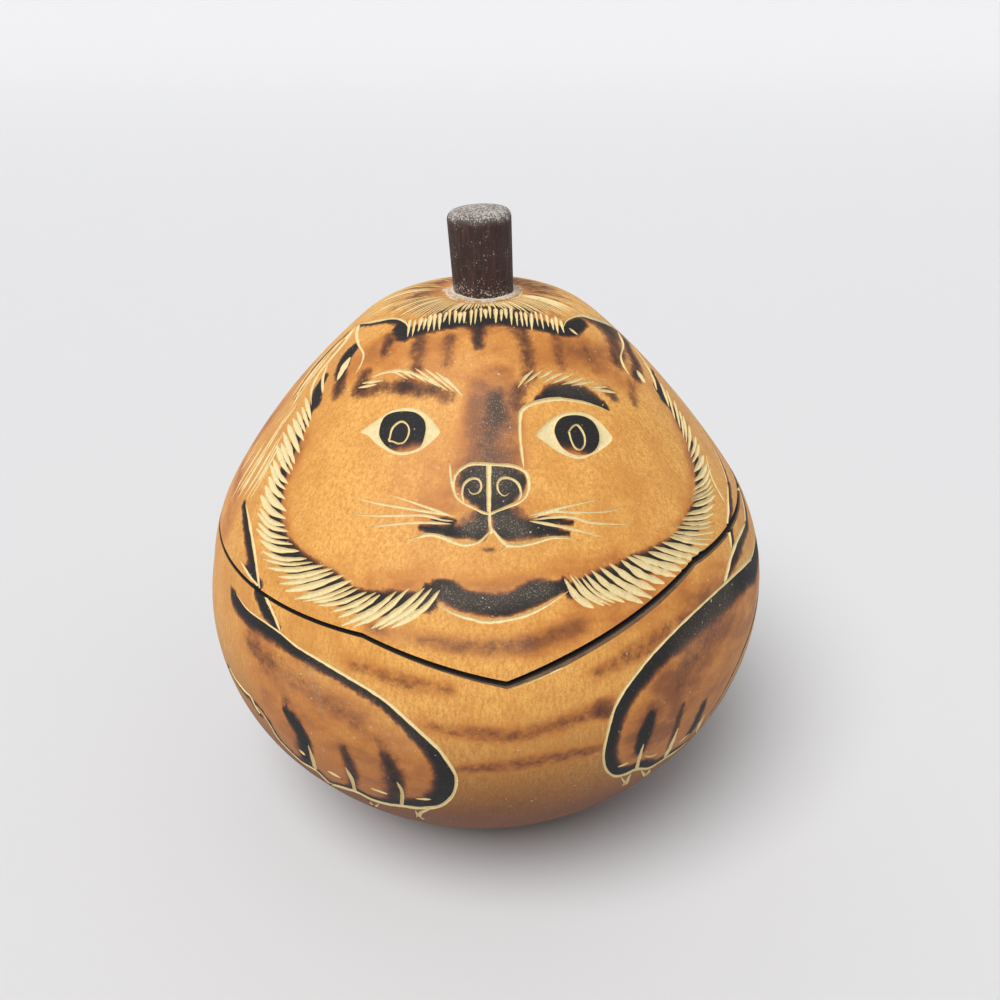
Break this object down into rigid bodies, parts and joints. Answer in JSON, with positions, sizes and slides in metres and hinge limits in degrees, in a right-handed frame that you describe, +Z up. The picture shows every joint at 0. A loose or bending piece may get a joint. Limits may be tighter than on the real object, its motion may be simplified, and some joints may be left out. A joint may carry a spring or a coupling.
{
  "type": "carved gourd box",
  "caption": "Hollow dried gourd sawn into a bowl and a lift-off lid, carved and scorched as a crouching cat, with a wooden peg as the lid's handle.",
  "frame": {"origin": "centre of the flat foot, on the surface that the gourd stands on", "axes": "+Z up along the gourd's axis; the carved face looks along -Y, and +X is to the right of someone who looks at the face"},
  "size_m": [0.1042, 0.1042, 0.1136],
  "materials": {
    "gourd_skin": "dried gourd skin, carved and scorched, satin",
    "peg_wood": "dark stained dowel, matt",
    "glue": "dried wood glue with dust"
  },
  "bodies": {
    "bowl": {"gourd_bowl": "gourd_skin"},
    "lid": {"gourd_lid": "gourd_skin", "peg": "peg_wood", "glue_collar": "glue"}
  },
  "joints": [
    {"name": "lid_lift", "type": "slide", "parent": "bowl", "child": "lid", "axis": [0, 0, 1], "range_m": [0, 0.06]}
  ]
}
